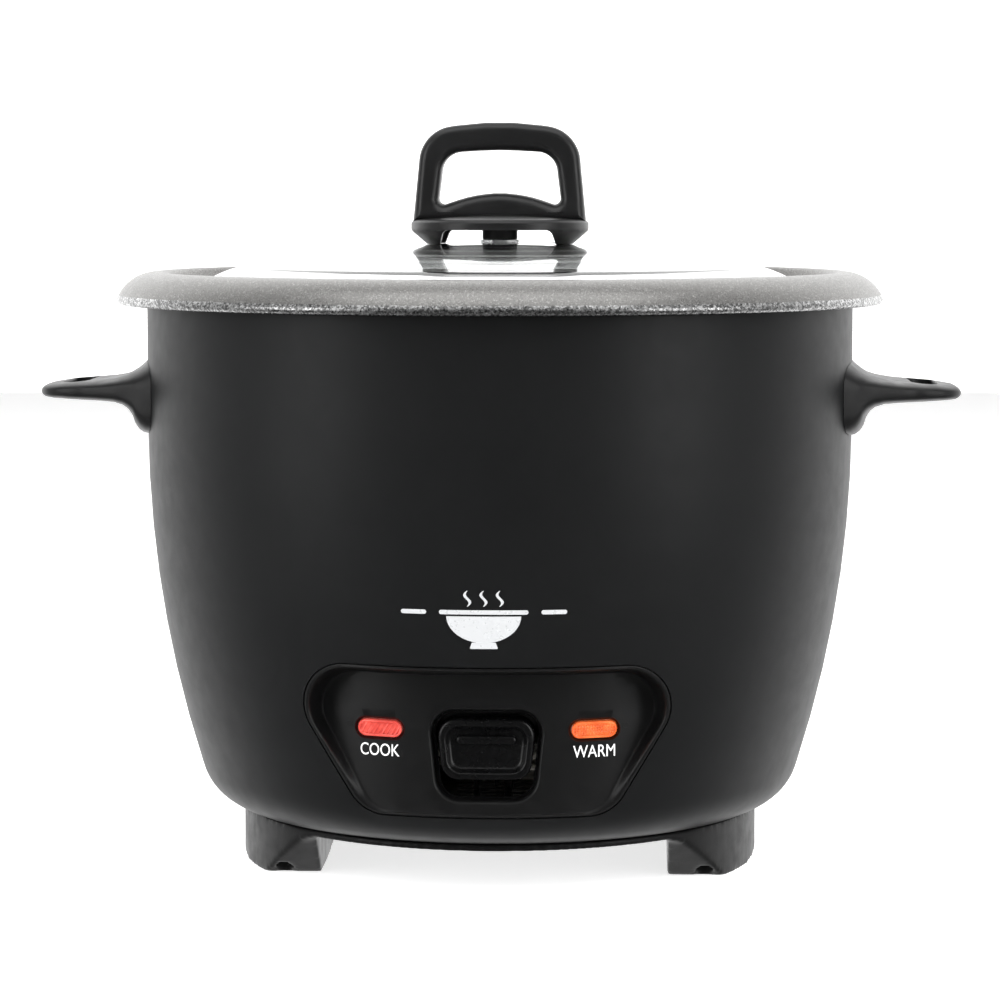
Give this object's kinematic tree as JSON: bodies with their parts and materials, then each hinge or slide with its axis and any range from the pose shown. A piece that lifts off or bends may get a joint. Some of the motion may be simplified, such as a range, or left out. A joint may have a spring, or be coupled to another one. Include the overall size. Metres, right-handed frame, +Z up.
{
  "type": "rice cooker",
  "caption": "Drum rice cooker with a lift-out pot, domed glass lid with an arch knob, side handles, a lever key and two indicator lenses.",
  "frame": {"origin": "centre of the floor that the cooker stands on, under the drum's axis", "axes": "+Z up the drum's axis, front with the key at -Y, handles on +X and -X"},
  "size_m": [0.339, 0.282, 0.2707],
  "materials": {
    "shell_paint": "matte black paint, fine texture",
    "black_plastic": "fine satin texture",
    "panel_plastic": "fine satin texture",
    "key_plastic": "semi-gloss",
    "white_plastic": "moulded",
    "red_lens": "clear red plastic, ribbed behind",
    "orange_lens": "clear orange plastic, ribbed behind",
    "lamp_glass": "clear",
    "lid_glass": "clear toughened glass",
    "zinc_steel": "zinc plated",
    "polished_steel": "polished",
    "sheath_steel": "heat stained",
    "spring_steel": "drawn wire",
    "aluminised_steel": "aluminised sheet",
    "cast_aluminium": "cast and turned",
    "bare_aluminium": "drawn",
    "nonstick": "grey speckled non-stick coating",
    "ferrite": "sintered",
    "white_ceramic": "unglazed",
    "brass": "plain",
    "wire_insulation": "woven glass sleeve",
    "clear_rubber": "silicone"
  },
  "bodies": {
    "cooker": {"outer_shell": "shell_paint", "base": "black_plastic", "base_screws": "zinc_steel", "right_handle": "black_plastic", "left_handle": "black_plastic", "handle_screws": "zinc_steel", "control_panel": "panel_plastic", "cook_lens": "red_lens", "warm_lens": "orange_lens", "cook_lamp": "lamp_glass", "warm_lamp": "lamp_glass", "lamp_holders": "white_plastic", "lever_bracket": "zinc_steel", "lever_pivot_pin": "zinc_steel", "microswitch_body": "black_plastic", "heater_plate": "cast_aluminium", "heating_element": "sheath_steel", "heater_screws": "zinc_steel", "heat_shield_pan": "aluminised_steel", "thermostat_sleeve": "aluminised_steel", "warm_thermostat": "black_plastic", "thermal_fuse": "bare_aluminium", "fuse_clip": "zinc_steel", "terminal_block": "white_ceramic", "appliance_inlet": "black_plastic", "inlet_pins": "brass", "inlet_screws": "zinc_steel", "inlet_wires": "wire_insulation", "heater_wires": "wire_insulation", "lamp_wires": "wire_insulation", "cup_spring": "spring_steel", "plunger_spring": "spring_steel"},
    "key_lever": {"switch_key": "key_plastic", "lever_arm": "zinc_steel"},
    "switch_button": {"microswitch_button": "white_plastic"},
    "sensor": {"sensor_cup": "bare_aluminium", "ferrite": "ferrite"},
    "plunger": {"plunger_rod": "zinc_steel", "magnet": "ferrite"},
    "pot": {"inner_pot": "nonstick"},
    "lid": {"glass_lid": "lid_glass", "lid_knob": "black_plastic", "knob_washer": "clear_rubber", "knob_screw": "zinc_steel", "vent_grommet": "polished_steel"}
  },
  "joints": [
    {"name": "pot_lift", "type": "slide", "parent": "cooker", "child": "pot", "axis": [0, 0, 1], "range_m": [0, 0.16]},
    {"name": "lid_lift", "type": "slide", "parent": "pot", "child": "lid", "axis": [0, 0, 1], "range_m": [0, 0.12]},
    {"name": "key_press", "type": "hinge", "parent": "cooker", "child": "key_lever", "pos_m": [0, -0.055, 0.048], "axis": [1, 0, 0], "range_deg": [0, 6.31], "stiffness_Nm_per_rad": 0.5, "springref_deg": -8.59},
    {"name": "plunger_slide", "type": "slide", "parent": "cooker", "child": "plunger", "axis": [0, 0, 1], "range_m": [0, 0.0064], "deforming": ["plunger_spring"]},
    {"name": "button_slide", "type": "slide", "parent": "cooker", "child": "switch_button", "axis": [0, 0, 1], "range_m": [0, 0.001]},
    {"name": "sensor_slide", "type": "slide", "parent": "cooker", "child": "sensor", "axis": [0, 0, 1], "range_m": [0, 0.0025], "deforming": ["cup_spring"]}
  ],
  "couplings": [
    {"joint": "plunger_slide", "follows": "key_press", "m_per_rad": 0.05808},
    {"joint": "button_slide", "follows": "key_press", "m_per_rad": 0.008993},
    {"joint": "sensor_slide", "follows": "pot_lift", "ratio": 0.0156}
  ]
}
